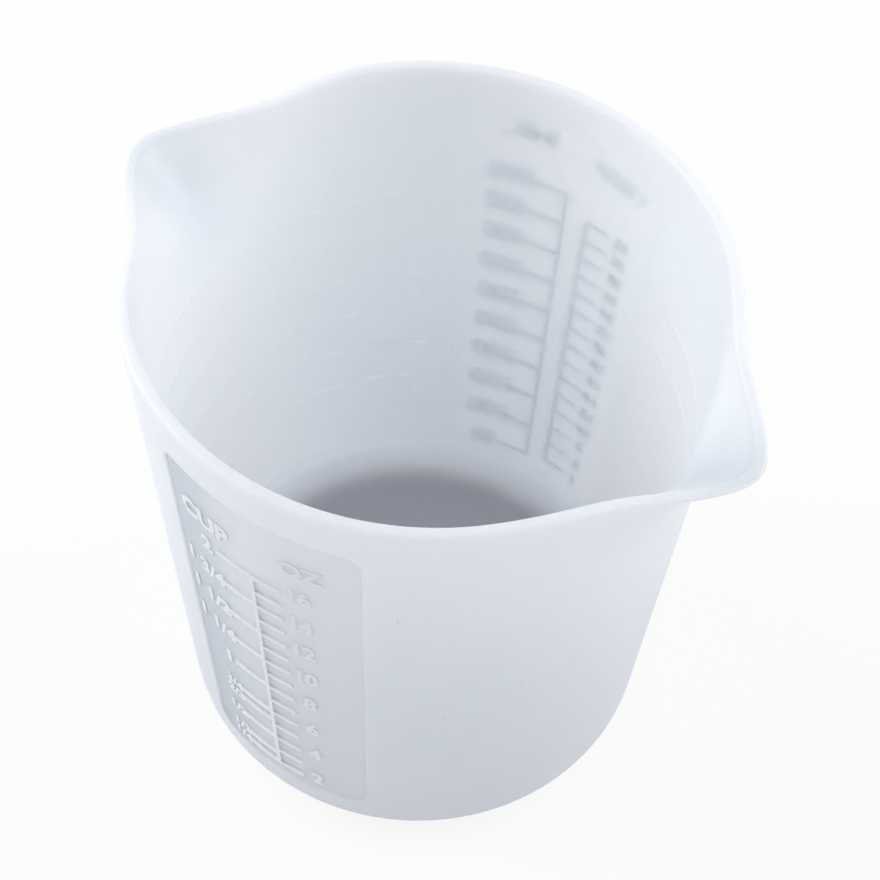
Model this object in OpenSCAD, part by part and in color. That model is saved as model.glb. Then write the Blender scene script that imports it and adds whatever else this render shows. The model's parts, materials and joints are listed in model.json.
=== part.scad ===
// Silicone mixing cup with two pouring spouts, moulded in one piece.
// Raised scales stand in a shallow window on the front and on the back,
// and fine fill rings run round the inside. The cup stands on z = 0 with
// its spouts along X and the cup and ounce scales facing -Y.

/* [Cup] */
// Outside diameter of the round rim
rim_d = 100; // [90:1:120]
// Outside diameter where the wall line meets the resting face
base_d = 87; // [76:1:89]
// Height from the resting face to the round part of the rim
cup_h = 107.5; // [104:0.5:130]
// Thickness of the wall
wall_t = 2.2; // [1.8:0.1:3]
// Thickness of the floor
floor_t = 2.2; // [1.8:0.1:4]
// Outside radius of the corner between wall and resting face
corner_r = 6; // [4:0.5:8]
// Inside radius of the corner between wall and floor
inner_corner_r = 7; // [3:0.5:9]
// Rounding along both edges of the rim
edge_r = 0.7; // [0.4:0.1:0.8]

/* [Spouts] */
// Distance from the cup's axis to the outside of a spout's tip
spout_reach = 60.3; // [56:0.1:64]
// Angle between a spout's side and its centre line, seen from above
spout_half_angle = 44; // [38:1:50]
// Outside radius of a spout's tip, seen from above
spout_tip_r = 6.7; // [4:0.1:9]
// Height of a spout's trough, from its foot on the wall to its tip
spout_drop = 14; // [10:0.5:18]
// How far the rim dips at a spout's tip
spout_dip = 5; // [0:0.5:7]
// Half of the angle round the rim over which it dips
dip_half_angle = 46; // [36:1:60]
// Depth over which a spout's sides blend into the round wall
spout_blend = 3; // [1.5:0.5:4]

/* [Scale windows] */
// Half of the angle that a window covers
window_half_angle = 22.5; // [20:0.5:26]
// Height of a window's lower edge
window_low = 9; // [8:0.5:10]
// Distance from the rim down to a window's upper edge
window_below_rim = 8.5; // [7:0.5:10]
// Radius of a window's corners
window_corner_r = 4; // [2:0.5:5]
// Depth of a window, and height of the marks that stand in it
window_depth = 0.4; // [0.2:0.1:0.6]
// Width of a scale's lines
line_w = 0.7; // [0.5:0.1:1.2]

/* [Scales] */
// Where the ounce scale's spine stands, in degrees from the window's middle
ounce_spine = -0.8; // [-2:0.1:1]
// Length of an ounce tick
ounce_tick = 5; // [3:0.5:6]
// Length of a cup line
cup_line = 7; // [5:0.5:8]
// Where the millilitre scale's spine stands, in degrees from the window's middle
ml_spine = 2; // [1:0.5:3]
// Length of a millilitre line
ml_line = 6; // [4:0.5:7]
// Where the tablespoon scale's spine stands, in degrees from the window's middle
spoon_spine = -3.8; // [-5:0.1:-3]
// Length of a tablespoon tick
spoon_tick = 4.5; // [3:0.5:5]

/* [Fill rings] */
// Height of the highest ring inside the cup
ring_top = 77.7; // [74:0.1:80]
// Height from one ring to the next
ring_pitch = 9.7; // [8:0.1:10]
// Number of rings
ring_count = 7; // [1:1:7]
// Angle of each gap between the rings' ends and the middle of the back window
ring_gap = 31; // [26:1:40]
// Width of a ring where it meets the wall
ring_w = 0.7; // [0.4:0.1:1]
// How far a ring stands off the wall
ring_h = 0.25; // [0.15:0.05:0.4]

/* [Hidden] */
$fn = 96;

ml_per_cup = 236.588;
ml_per_ounce = ml_per_cup / 8;
spoons_per_ounce = 2;
mm3_per_ml = 1000;
ounce_levels = [for (n = [16:-1:2]) n * ml_per_ounce];
cup_levels = [for (n = [2, 7/4, 3/2, 5/4, 1, 3/4, 2/3, 1/2, 1/3, 1/4]) n * ml_per_cup];
ml_levels = [for (n = [500:-50:50]) n];
spoon_levels = [for (n = [32:-2:4]) n * ml_per_ounce / spoons_per_ounce];

wall_slope = (rim_d - base_d) / 2 / cup_h;
lean = atan(wall_slope);
front = 270;
back = 90;

// Points round the cup, crowded towards the spouts where the outline turns tightly
segments = 120;
crowding = 14;
corner_steps = 5;
inner_corner_steps = 5;
edge_steps = 3;
window_corner_steps = 6;

spout_foot_z = cup_h - spout_dip - spout_drop;
spout_foot_r = wall_r(spout_foot_z);
// Share of the trough's mean slope that is left at its foot
foot_share = 0.55;
// Heights in the spout's zone, from below the trough's foot at 0 to the rim at 1
levels = [-0.7, -0.45, -0.2, 0, 0.2, 0.4, 0.6, 0.8, 1];
tip_flare = spout_tip_r / pow(tan(spout_half_angle), 2);
inner_tip_flare = tip_flare - wall_t * (1 / sin(spout_half_angle) - 1);

function mix(a, b, t) = a + (b - a) * t;
function wall_r(z) = base_d / 2 + wall_slope * z;

// The larger of two radii, blended where they differ by less than the blend depth
function soft_max(a, b) = max(a, b) + pow(max(spout_blend - abs(a - b), 0), 2) / (4 * spout_blend);

// Angle from the nearer spout's centre line
function off_spout(angle) = abs((angle + 90) % 180 - 90);

function rim_z(angle) =
    let (t = min(off_spout(angle) / dip_half_angle, 1))
    cup_h - spout_dip * (1 + cos(180 * t)) / 2;

// Plan of a spout: a vee with a rounded tip, as a radius from the cup's axis
function vee_r(angle, reach, flare) =
    let (a = min(off_spout(angle), 90 - spout_half_angle))
    let (apex = reach + flare)
    let (room = apex * apex - flare * flare)
    let (side = pow(flare * cos(a), 2) + room * pow(sin(a) / tan(spout_half_angle), 2))
    room / (apex * cos(a) + sqrt(side));

// Reach of the trough's outside at a level between its foot and the rim
function trough_reach(level) =
    spout_foot_r + (spout_reach - spout_foot_r) * level * mix(foot_share, 1, max(level, 0));

function level_height(angle, level) =
    spout_foot_z + level * (level < 0 ? spout_drop : rim_z(angle) - edge_r - spout_foot_z);

function outer_r(angle, level) =
    soft_max(wall_r(level_height(angle, level)), vee_r(angle, trough_reach(level), tip_flare));

function inner_r(angle, level) =
    soft_max(
        wall_r(level_height(angle, level)) - wall_t,
        vee_r(angle, trough_reach(level) - wall_t, inner_tip_flare)
    );

// Height of the liquid's surface for a volume, with the small loss in the rounded corner left out
function fill_z(ml) =
    let (floor_r = wall_r(floor_t) - wall_t)
    let (cubed = pow(floor_r, 3) + 3 * wall_slope * ml * mm3_per_ml / PI)
    floor_t + (pow(cubed, 1 / 3) - floor_r) / wall_slope;

function step_angle(i) =
    let (even = 360 * i / segments)
    even - crowding * sin(2 * even);

function at(angle, r, z) = [r * cos(angle), r * sin(angle), z];

// A circle of points that has the same radius and height all round
function round_row(r, z) = [for (i = [0:segments - 1]) at(step_angle(i), r, z)];

// Rows of the base corner, from the resting face up, or down from the wall to the floor
function corner_rows(r, z0, wall, steps) =
    let (centre = wall_r(z0 + r) - wall - r / cos(lean))
    [
        for (s = [0:steps])
            let (a = mix(-90, -lean, s / steps))
            round_row(centre + r * cos(a), z0 + r + r * sin(a))
    ];

// A row on the wall's outside or inside, at a level of the spouts' zone
function wall_row(level, inside) = [
    for (i = [0:segments - 1])
        let (a = step_angle(i))
        at(a, inside ? inner_r(a, level) : outer_r(a, level), level_height(a, level))
];

// A row on the rim's rounding, which turns from 0 at the wall to 90 on top
function rim_row(turn, inside) = [
    for (i = [0:segments - 1])
        let (a = step_angle(i))
        let (in = edge_r * (1 - cos(turn)))
        at(a, inside ? inner_r(a, 1) + in : outer_r(a, 1) - in, rim_z(a) - edge_r * (1 - sin(turn)))
];

function reversed(rows) = [for (i = [len(rows) - 1:-1:0]) rows[i]];

rim_turns = [for (s = [1:edge_steps]) 90 * s / edge_steps];

// Rows from the resting face up the outside, over the rim and down the inside to the floor
shell_rows = concat(
    corner_rows(corner_r, 0, 0, corner_steps),
    [for (v = levels) wall_row(v, false)],
    [for (t = rim_turns) rim_row(t, false)],
    [for (t = reversed(rim_turns)) rim_row(t, true)],
    [for (v = reversed(levels)) wall_row(v, true)],
    reversed(corner_rows(inner_corner_r, floor_t, wall_t, inner_corner_steps))
);

// Closed skin through rows of points; its first and last rows are flat ends
module skin(rows) {
    n = len(rows[0]);
    last = len(rows) - 1;
    sides = [
        for (j = [0:last - 1], i = [0:n - 1])
            let (a = j * n + i)
            let (b = j * n + (i + 1) % n)
            each [[a, a + n, b + n], [a, b + n, b]]
    ];
    bottom = [[for (i = [0:n - 1]) i]];
    top = [[for (i = [n - 1:-1:0]) last * n + i]];
    polyhedron(points = [for (row = rows) each row], faces = concat(bottom, sides, top));
}

window_top = cup_h - window_below_rim;

// How far a line of the wall at this angle lies from the window's middle, seen square on
function across(angle, z) = wall_r(z) * sin(angle);

// Corner of a window's outline, rounded towards its middle
function window_corner(x, z, start) = [
    for (s = [0:window_corner_steps])
        let (a = start + 90 * s / window_corner_steps)
        [x + window_corner_r * (cos(a) - sign(x)), z + window_corner_r * (sin(a) + (z < cup_h / 2 ? 1 : -1))]
];

// Carries a flat drawing, X to the right and Y up, onto a side of the cup
module on_side(side)
    rotate([90, 0, side - front])
        linear_extrude(rim_d)
            children();

// Conical skin of the wall between two depths, over the windows' height
module wall_band(depth, rise)
    rotate_extrude()
        polygon([
            [wall_r(0) - depth, 0],
            [wall_r(0) + rise, 0],
            [wall_r(cup_h) + rise, cup_h],
            [wall_r(cup_h) - depth, cup_h]
        ]);

module scale_window(side)
    intersection() {
        on_side(side)
            polygon(concat(
                window_corner(across(-window_half_angle, window_low), window_low, 180),
                window_corner(across(window_half_angle, window_low), window_low, 270),
                window_corner(across(window_half_angle, window_top), window_top, 0),
                window_corner(across(-window_half_angle, window_top), window_top, 90)
            ));
        wall_band(window_depth, wall_t);
    }

// Line up the wall at an angle from the window's middle, as long as the scale that it carries
module spine(angle, levels_ml) {
    low = fill_z(min(levels_ml)) - line_w / 2;
    high = fill_z(max(levels_ml)) + line_w / 2;
    polygon([
        [across(angle, low) - line_w / 2, low],
        [across(angle, low) + line_w / 2, low],
        [across(angle, high) + line_w / 2, high],
        [across(angle, high) - line_w / 2, high]
    ]);
}

// Level lines from a spine's edge, to the right where the length is positive, otherwise to the left
module level_lines(angle, levels_ml, length) {
    for (ml = levels_ml) {
        z = fill_z(ml);
        edge = across(angle, z) + sign(length) * line_w / 2;
        translate([min(edge, edge + length), z - line_w / 2])
            square([abs(length), line_w]);
    }
}

// Marks that stand in a window, flush with the wall around it
module raised(side)
    intersection() {
        on_side(side)
            children();
        wall_band(window_depth, 0);
    }

module cup_body()
    color("#e9eef5")
        difference() {
            skin(shell_rows);
            scale_window(front);
            scale_window(back);
        }

module ounce_scale()
    color("#f7f9fc")
        raised(front) {
            spine(ounce_spine, ounce_levels);
            level_lines(ounce_spine, ounce_levels, ounce_tick);
        }

module cup_scale()
    color("#f7f9fc")
        raised(front)
            level_lines(ounce_spine, cup_levels, -cup_line);

module millilitre_scale()
    color("#f7f9fc")
        raised(back) {
            spine(ml_spine, ml_levels);
            level_lines(ml_spine, ml_levels, ml_line);
        }

module tablespoon_scale()
    color("#f7f9fc")
        raised(back) {
            spine(spoon_spine, spoon_levels);
            level_lines(spoon_spine, spoon_levels, -spoon_tick);
        }

// Flat facets of the wall lie inside its true circle by up to this much
facet_sag = rim_d / 2 * (1 - cos((1 + 2 * crowding * PI / 180) * 180 / segments));

module fill_ring(z) {
    wall = wall_r(z) - wall_t - facet_sag;
    rotate([0, 0, back + ring_gap])
        rotate_extrude(angle = 360 - 2 * ring_gap)
            polygon([
                [wall - wall_slope * ring_w / 2, z - ring_w / 2],
                [wall + wall_slope * ring_w / 2, z + ring_w / 2],
                [wall - ring_h, z + ring_w / 4],
                [wall - ring_h, z - ring_w / 4]
            ]);
}

module fill_rings()
    color("#f7f9fc")
        for (i = [0:ring_count - 1])
            fill_ring(ring_top - i * ring_pitch);

cup_body();
ounce_scale();
cup_scale();
millilitre_scale();
tablespoon_scale();
fill_rings();
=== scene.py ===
import json
import math

import bmesh
import bpy
import numpy as np
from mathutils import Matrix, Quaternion, Vector

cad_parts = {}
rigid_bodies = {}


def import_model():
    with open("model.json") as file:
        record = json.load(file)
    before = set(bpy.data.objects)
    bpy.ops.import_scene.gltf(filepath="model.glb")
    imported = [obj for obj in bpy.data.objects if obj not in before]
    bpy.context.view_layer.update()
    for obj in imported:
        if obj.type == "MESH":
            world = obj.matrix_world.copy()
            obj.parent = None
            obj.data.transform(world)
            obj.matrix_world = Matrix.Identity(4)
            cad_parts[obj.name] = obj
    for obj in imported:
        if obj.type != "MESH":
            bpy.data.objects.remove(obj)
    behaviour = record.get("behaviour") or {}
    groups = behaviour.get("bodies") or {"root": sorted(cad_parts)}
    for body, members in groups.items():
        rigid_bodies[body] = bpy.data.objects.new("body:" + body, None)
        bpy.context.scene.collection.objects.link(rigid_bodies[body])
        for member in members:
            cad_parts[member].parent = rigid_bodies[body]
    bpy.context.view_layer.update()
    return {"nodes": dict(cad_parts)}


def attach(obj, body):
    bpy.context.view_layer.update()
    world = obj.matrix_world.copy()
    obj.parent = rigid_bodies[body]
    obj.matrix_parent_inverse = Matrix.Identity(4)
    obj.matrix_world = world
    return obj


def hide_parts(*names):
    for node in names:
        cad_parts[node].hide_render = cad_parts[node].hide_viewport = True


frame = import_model()
scene = bpy.context.scene
nodes = frame["nodes"]
millimetre = 0.001       # the cup's own sizes are written in millimetres
print("frame loaded:", sorted(nodes))


# Camera, where the photograph was taken from
photoView = {
    "turn": 31.2,            # degrees round the cup from its front window
    "tilt": 53.15,           # degrees above the horizon
    "distance": 0.35855,
    "lens": 81.7,
    "sensor": 36,
    "roll": 3.19,
    "aimHeight": 0.05375,
    "aimRight": 0.00276,
    "aimUp": 0.00645,
}


def makeCamera(view):
    turn, tilt = math.radians(view["turn"]), math.radians(view["tilt"])
    forward = Vector((0, math.cos(tilt), -math.sin(tilt)))
    right = Vector((1, 0, 0))
    up = right.cross(forward)
    aim = Vector((0, 0, view["aimHeight"])) + right * view["aimRight"] + up * view["aimUp"]
    place = aim - forward * view["distance"]
    spin = Quaternion((0, 0, 1), turn)
    camera = bpy.data.objects.new("camera", bpy.data.cameras.new("camera"))
    camera.data.lens = view["lens"]
    camera.data.sensor_width = view["sensor"]
    camera.location = spin @ place
    camera.rotation_mode = "QUATERNION"
    level = (spin @ forward).to_track_quat("-Z", "Y")
    camera.rotation_quaternion = level @ Quaternion((0, 0, 1), math.radians(view["roll"]))
    scene.collection.objects.link(camera)
    scene.camera = camera


makeCamera(photoView)
print("camera placed")


# Shader nodes as expressions
class Wire:
    def __init__(self, tree, socket):
        self.tree, self.socket = tree, socket

    def node(self, kind, settings=None, sockets=None, out=0):
        made = self.tree.nodes.new(kind)
        for name, value in (settings or {}).items():
            setattr(made, name, value)
        for name, value in (sockets or {}).items():
            if isinstance(value, Wire):
                self.tree.links.new(value.socket, made.inputs[name])
            else:
                made.inputs[name].default_value = value
        return Wire(self.tree, made.outputs[out] if len(made.outputs) else None)

    def maths(self, operation, first, second):
        return self.node("ShaderNodeMath", {"operation": operation}, {0: first, 1: second})

    def __add__(self, other):
        return self.maths("ADD", self, other)

    def __radd__(self, other):
        return self.maths("ADD", other, self)

    def __sub__(self, other):
        return self.maths("SUBTRACT", self, other)

    def __rsub__(self, other):
        return self.maths("SUBTRACT", other, self)

    def __mul__(self, other):
        return self.maths("MULTIPLY", self, other)

    def __rmul__(self, other):
        return self.maths("MULTIPLY", other, self)

    def __gt__(self, other):
        return self.maths("GREATER_THAN", self, other)

    def most(self, other):
        return self.maths("MAXIMUM", self, other)

    def between(self, low, high):       # 0 at low, 1 at high, eased at both ends
        return self.node(
            "ShaderNodeMapRange",
            {"interpolation_type": "SMOOTHSTEP"},
            {"Value": self, "From Min": low, "From Max": high},
        )

    def blend(self, share, first, second):      # the first colour turned towards the second
        colours = {0: share, 6: first, 7: second}       # a Mix node's colours are its sockets 6 and 7
        return self.node("ShaderNodeMix", {"data_type": "RGBA"}, colours, out=2)

    def tint(self, other, share):       # this colour turned towards another by a share
        return self.blend(share, self, other)


def newMaterial(name):
    material = bpy.data.materials.new(name)
    material.use_nodes = True
    material.node_tree.nodes.clear()
    return material, Wire(material.node_tree, None)


def finishMaterial(wire, shader):
    wire.node("ShaderNodeOutputMaterial", None, {"Surface": shader})


# Silicone of the cup's body
silicone = {
    "colour": (0.825, 0.905, 0.965, 1),
    "roughness": 0.42,
    "scatter": 1.0,
    "scatterScale": 0.014,
    "scatterRadius": (1.0, 1.0, 1.0),
    "ior": 1.41,
    "clear": 0.0,            # share of the light that passes straight through
    "bloom": 0.03,           # pale frosted look of the wall where it is seen along its face
    "bloomRoughness": 0.5,
}


def siliconeShader(wire, look, colour, roughness, normal=None):
    sockets = {
        "Base Color": colour,
        "Roughness": roughness,
        "IOR": look["ior"],
        "Alpha": 1 - look["clear"],
        "Subsurface Weight": look["scatter"],
        "Subsurface Radius": look["scatterRadius"],
        "Subsurface Scale": look["scatterScale"],
        "Sheen Weight": look["bloom"],
        "Sheen Roughness": look["bloomRoughness"],
    }
    if normal:
        sockets["Normal"] = normal
    return wire.node("ShaderNodeBsdfPrincipled", {"subsurface_method": "RANDOM_WALK"}, sockets)


# Sizes of patterns are how many of them cross one metre, and a share is a shade's greatest strength
bodyFinish = {
    "cloudSize": 140.0,      # blotches in the milkiness
    "cloudRange": (0.35, 0.7),
    "cloudShade": (0.815, 0.88, 0.95, 1),
    "cloudShare": 0.5,
    "mauveSize": 32.0,
    "mauveRange": (0.45, 0.65),
    "mauveShade": (0.875, 0.88, 0.95, 1),
    "mauveShare": 0.3,
    # painted shade low down: inside by the floor and at the back, and round the outer base
    "paintedLowShade": (0.56, 0.59, 0.62, 1),
    "paintedLowShadeShare": 0.7,
    # painted light: paler inner walls to the left and right
    "paintedLightColour": (0.93, 0.985, 1.0, 1),
    # painted shade inside the spouts
    "spoutPaintedShade": (0.52, 0.59, 0.64, 1),
    "specks": 170.0,
    "speckSize": 0.035,
    "speckChance": 0.45,     # a cell above this gets a speck
    "speckShade": (0.35, 0.37, 0.40, 1),
    "speckShare": 0.8,
    "ringTint": (0.90, 0.935, 0.975, 1),
    "ringShare": 0.8,
    "ringBreaks": 90.0,      # gaps in the pale lines of the fill rings
    "ringBreakRange": (0.4, 0.62),
    "grain": 2200.0,
    "grainDepth": 0.00002,
    "dimples": 260.0,
    "dimpleDepth": 0.0001,
    "bump": 0.6,
    "windowBump": 0.15,
    "smears": 700.0,         # patches of finer and coarser roughness
    "smearSpread": 0.12,
    "windowShade": (0.76, 0.81, 0.81, 1),
    # painted shade on the left side of the front window
    "windowPaintedShade": (0.46, 0.50, 0.54, 1),      # left side of the front window
    "windowRoughness": 0.27,
    "windowScatter": 0.72,
    "floorShade": (0.985, 0.915, 0.935, 1),
    "floorScatter": 0.7,     # the floor lets less light through than the wall
}


def makeBodyMaterial(name, look, finish):
    material, wire = newMaterial(name)
    place = wire.node("ShaderNodeTexCoord", out="Object")

    def spread(label):       # a shade's strength, kept with the points of the cup's mesh
        return wire.node("ShaderNodeAttribute", {"attribute_name": label}, out="Fac")

    def noise(scale, detail=2.0):
        pattern = {"Vector": place, "Scale": scale, "Detail": detail}
        return wire.node("ShaderNodeTexNoise", None, pattern)

    clouds = noise(finish["cloudSize"], 3.0).between(*finish["cloudRange"])
    colour = wire.blend(clouds * finish["cloudShare"], look["colour"], finish["cloudShade"])
    mauve = noise(finish["mauveSize"], 1.0).between(*finish["mauveRange"])
    colour = colour.tint(finish["mauveShade"], mauve * finish["mauveShare"])
    # painted shade: darker low inside, at the back and round the outer base
    colour = colour.tint(finish["paintedLowShade"], spread("low") * finish["paintedLowShadeShare"])
    # painted light on the inner walls to the left and right
    colour = colour.tint(finish["paintedLightColour"], spread("pale"))
    # painted shade inside the spouts, deepest along their creases
    colour = colour.tint(finish["spoutPaintedShade"], spread("spout"))

    cells = {"Vector": place, "Scale": finish["specks"]}
    speckle = wire.node("ShaderNodeTexVoronoi", None, cells, out="Color")
    chance = wire.node("ShaderNodeSeparateColor", None, {0: speckle})
    fromSpeck = wire.node("ShaderNodeTexVoronoi", None, cells)
    near = 1 - fromSpeck.between(finish["speckSize"] * 0.5, finish["speckSize"])
    speck = near * (chance > finish["speckChance"])
    colour = colour.tint(finish["speckShade"], speck * finish["speckShare"])

    broken = noise(finish["ringBreaks"]).between(*finish["ringBreakRange"])
    colour = colour.tint(finish["ringTint"], spread("ring") * broken * finish["ringShare"])

    grain = noise(finish["grain"], 1.0) * finish["grainDepth"]
    height = grain + noise(finish["dimples"]) * finish["dimpleDepth"]
    bump = wire.node("ShaderNodeBump", None, {"Height": height, "Strength": finish["bump"], "Distance": 1.0})
    fine = wire.node(
        "ShaderNodeBump", None, {"Height": height, "Strength": finish["windowBump"], "Distance": 1.0}
    )
    roughness = look["roughness"] + (noise(finish["smears"]) - 0.5) * finish["smearSpread"]

    wall = siliconeShader(wire, look, colour, roughness, bump)
    paneLook = dict(look, bloom=0.0, scatter=finish["windowScatter"])
    # the pane's own colour, with painted shade on the left of the front window
    paneShade = wire.blend(spread("paintedPaneShade"), finish["windowShade"], finish["windowPaintedShade"])
    pane = siliconeShader(wire, paneLook, paneShade, finish["windowRoughness"], fine)
    floorLook = dict(look, scatter=finish["floorScatter"])
    floor = siliconeShader(wire, floorLook, finish["floorShade"], roughness, bump)
    sides = wire.node("ShaderNodeMixShader", None, {0: spread("window"), 1: wall, 2: pane})
    finishMaterial(wire, wire.node("ShaderNodeMixShader", None, {0: spread("bottom"), 1: sides, 2: floor}))
    return material


# Shape of the cup, as in the part's source
cup = {
    "rimWide": 100.0,
    "baseWide": 87.0,
    "tall": 107.5,
    "wall": 2.2,
    "floor": 2.2,
    "corner": 6.0,
    "innerCorner": 7.0,
    "edge": 0.7,
}
spout = {
    "reach": 60.3,
    "halfAngle": 44.0,
    "tipRound": 6.7,
    "drop": 14.0,
    "dip": 5.0,
    "dipHalfAngle": 46.0,
    "blend": 3.0,
    "footShare": 0.55,
}
window = {
    "halfAngle": 22.5,
    "low": 9.0,
    "belowRim": 8.5,
    "corner": 4.0,
    "deep": 0.42,            # a hair deeper than the letters' feet, so that light gets between them
    "softEdge": 0.5,         # width over which the window's edge falls away
    "front": 270.0,
    "back": 90.0,
}
ring = {
    "top": 77.7,
    "pitch": 9.7,
    "count": 7,
    "gap": 31.0,             # from the back window's middle to a ring's end
    "wide": 0.7,
    "shownHigh": 0.12,
    "flank": 1.15,           # how far a ring's sides run out, in half widths
    "endLength": 2.0,        # degrees over which a ring's end dies away
}
meshSteps = {                # columns are in degrees and rows in millimetres
    "plainColumn": 1.0,
    "paneColumn": 0.5,
    "edgeColumn": 0.2,
    "edgeColumns": (16.5, 23.4),     # where they start and end, from a window's middle
    "plainRow": 1.0,
    "edgeRow": 0.2,
    "edgeRowsMiddle": 2.2,   # from a window's lower or upper edge
    "edgeRowsReach": 2.8,
    "innerRow": 0.9,
    "ringRow": 0.13,
    "ringLead": 0.1,
    "lastRow": 0.3,          # the last row is at least this far from the end of the wall
    "corner": 14,
    "innerCorner": 12,
    "rim": 7,
    "baseShares": (0.12, 0.3, 0.5, 0.7, 0.85, 0.95),     # rows across the base and the floor
}
ringHeights = [ring["top"] - i * ring["pitch"] for i in range(ring["count"])]
slope = (cup["rimWide"] - cup["baseWide"]) / 2 / cup["tall"]
lean = math.atan(slope)
halfVee = math.radians(spout["halfAngle"])
tipFlare = spout["tipRound"] / math.tan(halfVee) ** 2
innerTipFlare = tipFlare - cup["wall"] * (1 / math.sin(halfVee) - 1)
footZ = cup["tall"] - spout["dip"] - spout["drop"]
windowTop = cup["tall"] - window["belowRim"]
windowMiddles = (window["front"], window["back"])


def wallRadius(z):
    return cup["baseWide"] / 2 + slope * z


def offMiddle(angle, middle):
    # degrees between a place round the cup and a middle line
    return abs((angle - middle + 180) % 360 - 180)


def offSpout(angle):
    return np.abs((angle + 90) % 180 - 90)


def rimHeight(angle):
    turn = np.minimum(offSpout(angle) / spout["dipHalfAngle"], 1)
    return cup["tall"] - spout["dip"] * (1 + np.cos(np.pi * turn)) / 2


def veeRadius(angle, reach, flare):
    a = np.radians(np.minimum(offSpout(angle), 90 - spout["halfAngle"]))
    apex = reach + flare
    room = apex**2 - flare**2
    side = (flare * np.cos(a)) ** 2 + room * (np.sin(a) / math.tan(halfVee)) ** 2
    return room / (apex * np.cos(a) + np.sqrt(side))


def softMax(a, b):
    blend = spout["blend"]
    return np.maximum(a, b) + np.maximum(blend - np.abs(a - b), 0) ** 2 / (4 * blend)


def troughReach(level):
    footRadius = wallRadius(footZ)
    ease = spout["footShare"] + (1 - spout["footShare"]) * np.maximum(level, 0)
    return footRadius + (spout["reach"] - footRadius) * level * ease


def levelOf(angle, z):
    # 0 at a spout's foot, 1 at the rim
    above = (z - footZ) / (rimHeight(angle) - cup["edge"] - footZ)
    return np.where(z < footZ, (z - footZ) / spout["drop"], above)


def sideRadius(angle, z, inside):
    level = levelOf(angle, z)
    thick = cup["wall"] if inside else 0.0
    flare = innerTipFlare if inside else tipFlare
    return softMax(wallRadius(z) - thick, veeRadius(angle, troughReach(level) - thick, flare))


def windowInside(angle, z):
    # how far inside the nearer window's outline, in millimetres
    off = np.minimum(*[offMiddle(angle, middle) for middle in windowMiddles])
    across = np.radians(off) * wallRadius(z)
    halfWide = math.radians(window["halfAngle"]) * wallRadius(z)
    x = across - halfWide + window["corner"]
    y = np.abs(z - (window["low"] + windowTop) / 2) - (windowTop - window["low"]) / 2 + window["corner"]
    outside = np.hypot(np.maximum(x, 0), np.maximum(y, 0)) + np.minimum(np.maximum(x, y), 0)
    return window["corner"] - outside


def eased(x):
    x = np.clip(x, 0, 1)
    return x * x * (3 - 2 * x)


def rising(x, start, length):
    return eased((x - start) / length)


def falling(x, start, length):
    return 1 - rising(x, start, length)


def ringRise(angle, z):
    # how far the fill rings stand off the inner wall
    ends = rising(offMiddle(angle, window["back"]), ring["gap"], ring["endLength"])
    off = np.min(np.abs(z[..., None] - np.array(ringHeights)), axis=-1)
    return ring["shownHigh"] * ends * eased(ring["flank"] - off / (ring["wide"] / 2))


def fillHeight(millilitres):
    # height at which the cup holds this much
    floorRadius = wallRadius(cup["floor"]) - cup["wall"]
    volume = 1000 * millilitres
    cubed = floorRadius**3 + 3 * slope * volume / math.pi
    return cup["floor"] + (cubed ** (1 / 3) - floorRadius) / slope


def meshObject(name, points, faces, material):
    mesh = bpy.data.meshes.new(name)
    mesh.from_pydata((np.asarray(points) * millimetre).tolist(), [], faces)
    mesh.materials.append(material)
    mesh.polygons.foreach_set("use_smooth", [True] * len(mesh.polygons))
    mesh.update()
    made = bpy.data.objects.new(name, mesh)
    scene.collection.objects.link(made)
    return made


def angleSteps():
    # columns round the cup: fine over the windows' edges, wider between
    firstEdge, lastEdge = meshSteps["edgeColumns"]
    steps = [0.0]
    while steps[-1] < 360:
        off = min(offMiddle(steps[-1], middle) for middle in windowMiddles)
        if firstEdge < off < lastEdge:
            gap = meshSteps["edgeColumn"]
        elif off < firstEdge:
            gap = meshSteps["paneColumn"]
        else:
            gap = meshSteps["plainColumn"]
        steps.append(steps[-1] + gap)
    return np.array(steps[:-1])


def heightSteps(low, high, inside):
    # rows up a wall: fine over the windows' upper and lower edges, or inside over the rings
    inset = meshSteps["edgeRowsMiddle"]
    steps = [low]
    while steps[-1] < high - meshSteps["lastRow"]:
        here = steps[-1]
        if inside:
            off = min(abs(here + meshSteps["ringLead"] - z) for z in ringHeights)
            gap = meshSteps["ringRow"] if off < ring["wide"] else meshSteps["innerRow"]
        else:
            off = min(abs(here - window["low"] - inset), abs(here - windowTop + inset))
            gap = meshSteps["edgeRow"] if off < meshSteps["edgeRowsReach"] else meshSteps["plainRow"]
        steps.append(here + gap)
    steps[-1] = high
    return steps


def cornerRows(radius, z0, wall, count):
    centre = wallRadius(z0 + radius) - wall - radius / math.cos(lean)
    turns = np.linspace(-math.pi / 2, -lean, count)
    return [(centre + radius * math.cos(t), z0 + radius + radius * math.sin(t)) for t in turns]


def wallRows(angles, low, inside):
    rimEdge = rimHeight(angles) - cup["edge"]
    lower = heightSteps(low, footZ, inside)[1:]
    upper = np.array(heightSteps(footZ, cup["tall"] - cup["edge"], inside)[1:])
    shares = (upper - footZ) / (cup["tall"] - cup["edge"] - footZ)
    heights = [np.full(len(angles), z) for z in lower]
    heights += [footZ + s * (rimEdge - footZ) for s in shares]
    made = []
    for z in heights:
        radius = sideRadius(angles, z, inside)
        if inside:
            radius = radius - ringRise(angles, z)
        else:
            depth = eased(windowInside(angles, z) / window["softEdge"])
            radius = radius - window["deep"] * depth
        made.append((radius, z))
    return made


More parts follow.
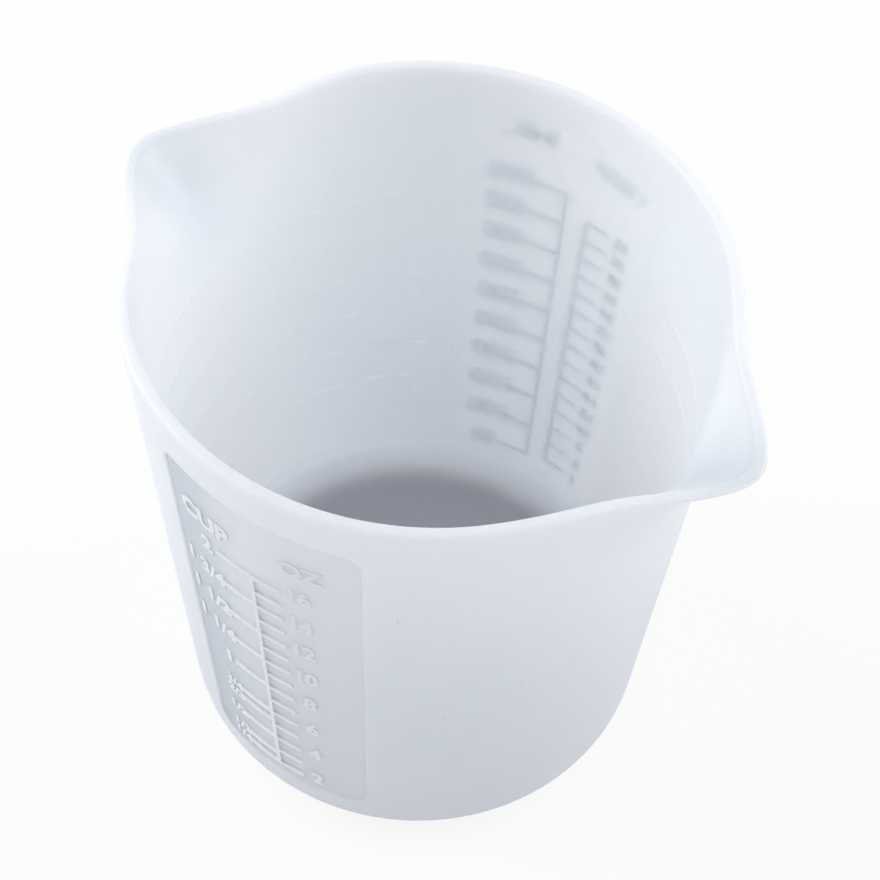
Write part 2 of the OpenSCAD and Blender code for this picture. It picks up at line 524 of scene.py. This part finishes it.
# Where the body's shades lie: a band is the start and the length of a rise or a fall, in millimetres
shading = {
    # painted shade inside, darker towards the floor
    "floorBand": (3.0, 14.0),
    "bottomLength": 5.0,
    # painted shade inside, low down at the back
    "backMiddle": 110,       # darker inside, low down at the back
    "backReach": 75,
    "backBand": (10.0, 65.0),
    "backShare": 0.95,
    # painted shade round the outer base, where the cup stands on the floor
    "baseBand": (0.0, 8.0),
    "baseShare": 0.75,
    # painted light inside, on both sides
    "rightMiddle": 42,       # paler inside, on both sides
    "rightReach": 30,
    "rightRise": (8.0, 15.0),
    "rightFall": (65.0, 30.0),
    "leftMiddle": 188,
    "leftReach": 35,
    "leftLow": 10,
    "leftShare": 0.5,
    "sideFull": 1.2,
    # painted shade inside the spouts: over the trough and darker along its crease
    "troughBand": (0.5, 5.0),
    "troughHalfAngle": 30,
    "troughShare": 0.3,
    "creaseFull": 1.1,
    "creaseHalfAngle": 13.0,
    "creaseBand": (-14.0, 18.0),     # from the spouts' feet
    "creaseShare": 0.7,
    # painted shade across the front window
    "paintedPaneShadeBand": (-16.0, 16.0),       # across the front window
}


def shadeSpreads(points):
    # how strongly each shade shows at each point of the body, from 0 to 1
    angle = np.degrees(np.arctan2(points[:, 1], points[:, 0])) % 360
    z, radius = points[:, 2], np.hypot(points[:, 0], points[:, 1])
    halfWall = cup["wall"] / 2
    outside = radius > wallRadius(z) - halfWall
    inside = radius < sideRadius(angle, z, False) - halfWall
    aboveBase = z > cup["floor"] / 2
    pane = outside * eased(windowInside(angle, z) / window["softEdge"])
    # painted shade towards the left of the front window
    paintedPaneShade = pane * (points[:, 1] < 0) * falling(points[:, 0], *shading["paintedPaneShadeBand"])

    # painted light inside, to the right and to the left
    atRight = eased(shading["sideFull"] - np.abs(angle - shading["rightMiddle"]) / shading["rightReach"])
    atLeft = eased(shading["sideFull"] - np.abs(angle - shading["leftMiddle"]) / shading["leftReach"])
    paintedLightRight = rising(z, *shading["rightRise"]) * falling(z, *shading["rightFall"]) * atRight
    paintedLightLeft = shading["leftShare"] * (z > shading["leftLow"]) * atLeft

    # painted shade inside the spouts: over the trough and along its crease
    pushedOut = rising(radius - wallRadius(z) + cup["wall"], *shading["troughBand"])
    trough = shading["troughShare"] * pushedOut * (offSpout(angle) < shading["troughHalfAngle"])
    crease = eased(shading["creaseFull"] - offSpout(angle) / shading["creaseHalfAngle"])
    crease = crease * rising(z - footZ, *shading["creaseBand"])

    # painted shade: inside low at the back and by the floor, and round the outer base
    atBack = eased(1 - np.abs(angle - shading["backMiddle"]) / shading["backReach"])
    paintedShadeAtBack = shading["backShare"] * atBack * falling(z, *shading["backBand"])
    paintedShadeInside = np.maximum(falling(z, *shading["floorBand"]), paintedShadeAtBack)
    paintedShadeOutside = shading["baseShare"] * falling(z, *shading["baseBand"])
    onBottom = (radius < wallRadius(z) - halfWall) * aboveBase
    return {
        "window": pane,
        "paintedPaneShade": paintedPaneShade,
        # painted light on the inner side walls
        "pale": inside * np.maximum(paintedLightRight, paintedLightLeft),
        "ring": ~outside * ringRise(angle, z) / ring["shownHigh"],
        # painted shade inside the spouts
        "spout": inside * (trough + shading["creaseShare"] * crease),
        "bottom": onBottom * falling(z, cup["floor"], shading["bottomLength"]),
        # painted shade low down, inside and outside
        "low": inside * aboveBase * paintedShadeInside + outside * paintedShadeOutside,
    }


def makeCupBody(material):
    angles = angleSteps()
    count = len(angles)
    edge = cup["edge"]
    rimEdge = rimHeight(angles) - edge
    outerCorner = cornerRows(cup["corner"], 0, 0, meshSteps["corner"])
    innerCorner = cornerRows(cup["innerCorner"], cup["floor"], cup["wall"], meshSteps["innerCorner"])
    outer = wallRows(angles, outerCorner[-1][1], False)
    inner = wallRows(angles, innerCorner[-1][1], True)

    def flatRow(radius, z):
        return np.full(count, radius), np.full(count, z)

    # one closed skin: base, outer wall, rim, inner wall, floor
    rows = [flatRow(outerCorner[0][0] * share, 0) for share in meshSteps["baseShares"]]
    rows += [flatRow(radius, z) for radius, z in outerCorner]
    rows += outer
    turns = np.radians(np.linspace(0, 90, meshSteps["rim"])[1:])
    for t in turns:
        rows.append((outer[-1][0] - edge * (1 - math.cos(t)), rimEdge + edge * math.sin(t)))
    for t in turns[::-1]:
        rows.append((inner[-1][0] + edge * (1 - math.cos(t)), rimEdge + edge * math.sin(t)))
    rows += inner[::-1]
    rows += [flatRow(radius, z) for radius, z in innerCorner[::-1]]
    rows += [flatRow(innerCorner[0][0] * share, cup["floor"]) for share in meshSteps["baseShares"][::-1]]

    turn = np.radians(angles)
    points = np.concatenate(
        [np.stack([r * np.cos(turn), r * np.sin(turn), z], axis=1) for r, z in rows]
    )
    faces = []
    for j in range(len(rows) - 1):
        for i in range(count):
            k = (i + 1) % count
            faces.append((j * count + i, j * count + k, (j + 1) * count + k, (j + 1) * count + i))
    low, high = len(points), len(points) + 1
    points = np.vstack([points, [0, 0, 0], [0, 0, cup["floor"]]])
    last = (len(rows) - 1) * count
    for i in range(count):
        k = (i + 1) % count
        faces.append((low, k, i))
        faces.append((high, last + i, last + k))
    made = meshObject("cupBody", points, faces, material)
    for label, values in shadeSpreads(points).items():
        layer = made.data.attributes.new(label, "FLOAT", "POINT")
        layer.data.foreach_set("value", values.astype(np.float32))
    return made


siliconeMaterial = makeBodyMaterial("milkySilicone", silicone, bodyFinish)
cupBody = makeCupBody(siliconeMaterial)
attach(cupBody, "root")
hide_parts("cup_body", "fill_rings")
print("cup body:", len(cupBody.data.polygons), "faces")


# Raised marks, which let no light scatter inside them, because that would turn them dark
marks = {
    "frontColour": (0.90, 0.915, 0.93, 1),
    "frontClear": 0.0,
    "ounceColour": (0.86, 0.88, 0.895, 1),
    "backColour": (0.80, 0.885, 0.96, 1),
    "backNumberClear": 0.66,
    "backLineClear": 0.44,
    "spoonNumberClear": 0.42,
}


def makeMarkMaterial(name, colour, clear):
    material, wire = newMaterial(name)
    look = dict(silicone, scatter=0.0, clear=clear)
    finishMaterial(wire, siliconeShader(wire, look, colour, look["roughness"]))
    return material


frontMarks = makeMarkMaterial("raisedSilicone", marks["frontColour"], marks["frontClear"])
backNumbers = makeMarkMaterial("raisedNumberSilicone", marks["backColour"], marks["backNumberClear"])
backLines = makeMarkMaterial("raisedLineSilicone", marks["backColour"], marks["backLineClear"])
spoonNumbers = makeMarkMaterial("raisedSmallNumberSilicone", marks["backColour"], marks["spoonNumberClear"])
ounceMarks = makeMarkMaterial("raisedOunceSilicone", marks["ounceColour"], marks["frontClear"])
scaleMaterials = {
    "ounce_scale": frontMarks,
    "cup_scale": frontMarks,
    "millilitre_scale": backLines,
    "tablespoon_scale": backLines,
}
for name, material in scaleMaterials.items():
    nodes[name].data.materials.clear()
    nodes[name].data.materials.append(material)
print("scale lines dressed")


# Numbers and words in the windows
# A heading is (text, degrees from the window's middle, height, tall, wide)
lettering = {
    "frontWeight": 0.018,    # how much bolder than the plain font, in letter heights
    "backWeight": 0.035,
    "thick": 0.1,
    "bevel": 0.03,
    "bevelSteps": 1,
    "curveSteps": 4,
    "foot": 0.4,             # depth below the wall's face at which a letter starts
    "cupHigh": 0.12,
    "ounceHigh": 0.07,
    "backHigh": 0.2,
}
cupMillilitres = 236.588
cupText = {
    "headings": [("CUP", -12.1, 87.4, 4.8, 11.2)],
    "wide": {"2": 2.6, "1 3/4": 9.3, "1 1/2": 9.3, "1 1/4": 9.3, "1": 1.1,
             "3/4": 4.4, "2/3": 4.4, "1/2": 4.4, "1/3": 4.4, "1/4": 4.4},
    "off": -12.6,
    "longest": 9.3,
    "longestOff": -14.4,
    "lift": -0.6,
    "tall": 4.2,
    "lowTall": 2.9,          # for labels below one cup
}
ounceText = {
    "headings": [("OZ", 10.2, 89.0, 4.0, 8.0)],
    "amounts": range(16, 0, -2),
    "unit": cupMillilitres / 8,
    "off": 9.6,
    "lift": 0.6,
    "tall": 4.4,
    "wide": {1: 2.5, 2: 4.0},        # by the count of digits
}
millilitreText = {
    "headings": [("ML", 12.0, 95.8, 3.8, 11.0), ("TBSP", -11.2, 94.0, 3.6, 14.0)],
    "amounts": range(500, 0, -50),
    "unit": 1,
    "off": 15.1,
    "lift": 0.6,
    "tall": 4.8,
    "wide": {2: 6.0, 3: 9.2},
}
spoonText = {
    "headings": [],          # its heading is as faint as the millilitre numbers and made with them
    "amounts": range(32, 2, -2),
    "unit": cupMillilitres / 16,
    "off": -13.8,
    "lift": 0.0,
    "tall": 2.6,
    "wide": {1: 1.8, 2: 3.6},
}
fractions = {"3/4": 0.75, "2/3": 2 / 3, "1/2": 0.5, "1/3": 1 / 3, "1/4": 0.25}


def amountOf(text):
    return sum(fractions.get(word) or float(word) for word in text.split())


def cupLabels(look):
    labels = list(look["headings"])
    for text, wide in look["wide"].items():
        amount = amountOf(text)
        off = look["longestOff"] if wide == look["longest"] else look["off"]
        tall = look["lowTall"] if amount < 1 else look["tall"]
        labels.append((text, off, fillHeight(amount * cupMillilitres) + look["lift"], tall, wide))
    return labels


def numberLabels(look):
    labels = list(look["headings"])
    for n in look["amounts"]:
        z = fillHeight(n * look["unit"]) + look["lift"]
        labels.append((str(n), look["off"], z, look["tall"], look["wide"][len(str(n))]))
    return labels


def flatText(text, tall, wide, weight):
    # points of the extruded text, centred: right and up in millimetres, and 0 to 1 out from the window
    curve = bpy.data.curves.new("text", "FONT")
    curve.body = text
    curve.offset = weight
    curve.extrude = lettering["thick"]
    curve.bevel_depth = lettering["bevel"]
    curve.bevel_resolution = lettering["bevelSteps"]
    curve.resolution_u = lettering["curveSteps"]
    holder = bpy.data.objects.new("text", curve)
    scene.collection.objects.link(holder)
    bpy.context.view_layer.update()
    mesh = bpy.data.meshes.new_from_object(holder)
    bpy.data.objects.remove(holder)
    points = np.array([v.co for v in mesh.vertices])
    faces = [list(f.vertices) for f in mesh.polygons]
    low, high = points.min(0), points.max(0)
    points = points - (low + high) / 2
    points[:, 0] *= wide / (high[0] - low[0])
    points[:, 1] *= tall / (high[1] - low[1])
    points[:, 2] = (points[:, 2] - points[:, 2].min()) / (high[2] - low[2])
    return points, faces


def makeLettering(name, side, labels, material, weight, rise):
    allPoints, allFaces = [], []
    for text, off, z, tall, wide in labels:
        points, faces = flatText(text, tall, wide, weight)
        up = z + points[:, 1]
        turn = np.radians(side + off) + points[:, 0] / wallRadius(z)
        out = wallRadius(up) - lettering["foot"] + points[:, 2] * rise
        start = sum(len(p) for p in allPoints)
        allPoints.append(np.stack([out * np.cos(turn), out * np.sin(turn), up], axis=1))
        allFaces += [[start + i for i in face] for face in faces]
    made = meshObject(name, np.vstack(allPoints), allFaces, material)
    welder = bmesh.new()
    welder.from_mesh(made.data)
    bmesh.ops.remove_doubles(welder, verts=welder.verts, dist=1e-7)
    bmesh.ops.recalc_face_normals(welder, faces=welder.faces)
    welder.to_mesh(made.data)
    welder.free()
    made.data.polygons.foreach_set("use_smooth", [False] * len(made.data.polygons))
    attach(made, "root")


frontWeight, backWeight, backHigh = lettering["frontWeight"], lettering["backWeight"], lettering["backHigh"]
front, back = window["front"], window["back"]
makeLettering("cupNumbers", front, cupLabels(cupText), frontMarks, frontWeight, lettering["cupHigh"])
makeLettering("ounceNumbers", front, numberLabels(ounceText), ounceMarks, frontWeight, lettering["ounceHigh"])
makeLettering("millilitreNumbers", back, numberLabels(millilitreText), backNumbers, backWeight, backHigh)
makeLettering("tablespoonNumbers", back, numberLabels(spoonText), spoonNumbers, backWeight, backHigh)
print("numbers and words made")


# Floor, background and lamps
studio = {
    "floorColour": (0.93, 0.93, 0.93, 1),
    "floorRoughness": 0.7,
    "floorShine": 0.2,
    "floorGlow": 0.85,       # share of plain white that the camera sees
    "floorHalf": 4.0,
    "floorDrop": 0.0003,
    "world": 0.48,
    "worldColour": (0.98, 1.0, 1.09, 1),
    "aim": (0, 0, 0.05),
}
lamps = {                    # places are to the camera's right, forward and up
    "leftLamp": {"place": (-0.7, 0.2, 0.6), "size": 0.65, "power": 4.25},
    "rightLamp": {"place": (0.7, 0.2, 0.6), "size": 0.65, "power": 3.28},
    "frontLamp": {"place": (-0.6, -0.75, 0.4), "size": 0.8, "power": 0.45},
}


def makeFloor(look):
    material, wire = newMaterial("paleFloor")
    surface = {
        "Base Color": look["floorColour"],
        "Roughness": look["floorRoughness"],
        "Specular IOR Level": look["floorShine"],
    }
    plain = wire.node("ShaderNodeBsdfPrincipled", None, surface)
    glow = wire.node("ShaderNodeEmission", None, {"Strength": 1.0})
    seen = wire.node("ShaderNodeLightPath", out="Is Camera Ray")
    mixed = wire.node("ShaderNodeMixShader", None, {0: seen * look["floorGlow"], 1: plain, 2: glow})
    finishMaterial(wire, mixed)
    half, under = look["floorHalf"], -look["floorDrop"]
    mesh = bpy.data.meshes.new("floor")
    corners = [(-half, -half, under), (half, -half, under), (half, half, under), (-half, half, under)]
    mesh.from_pydata(corners, [], [(0, 1, 2, 3)])
    mesh.materials.append(material)
    floor = bpy.data.objects.new("floor", mesh)
    scene.collection.objects.link(floor)


def makeWorld(look):
    world = bpy.data.worlds.new("studio")
    scene.world = world
    world.use_nodes = True
    world.node_tree.nodes.clear()
    wire = Wire(world.node_tree, None)

    def ray(kind):
        return wire.node("ShaderNodeLightPath", out=kind)

    bright = ray("Is Camera Ray").most(ray("Is Glossy Ray")).most(ray("Is Transmission Ray"))
    strength = look["world"] + bright * (1.0 - look["world"])
    colour = wire.blend(bright, look["worldColour"], (1, 1, 1, 1))
    ground = wire.node("ShaderNodeBackground", None, {"Color": colour, "Strength": strength})
    wire.node("ShaderNodeOutputWorld", None, {"Surface": ground})


def makeLamp(name, look, aim):
    place = Quaternion((0, 0, 1), math.radians(photoView["turn"])) @ Vector(look["place"])
    data = bpy.data.lights.new(name, "AREA")
    data.shape, data.size, data.energy = "DISK", look["size"], look["power"]
    lamp = bpy.data.objects.new(name, data)
    lamp.location = place
    lamp.rotation_mode = "QUATERNION"
    lamp.rotation_quaternion = (Vector(aim) - place).to_track_quat("-Z", "Y")
    scene.collection.objects.link(lamp)


makeFloor(studio)
makeWorld(studio)
for name, look in lamps.items():
    makeLamp(name, look, studio["aim"])
scene.view_settings.view_transform = "Standard"
print("studio ready")
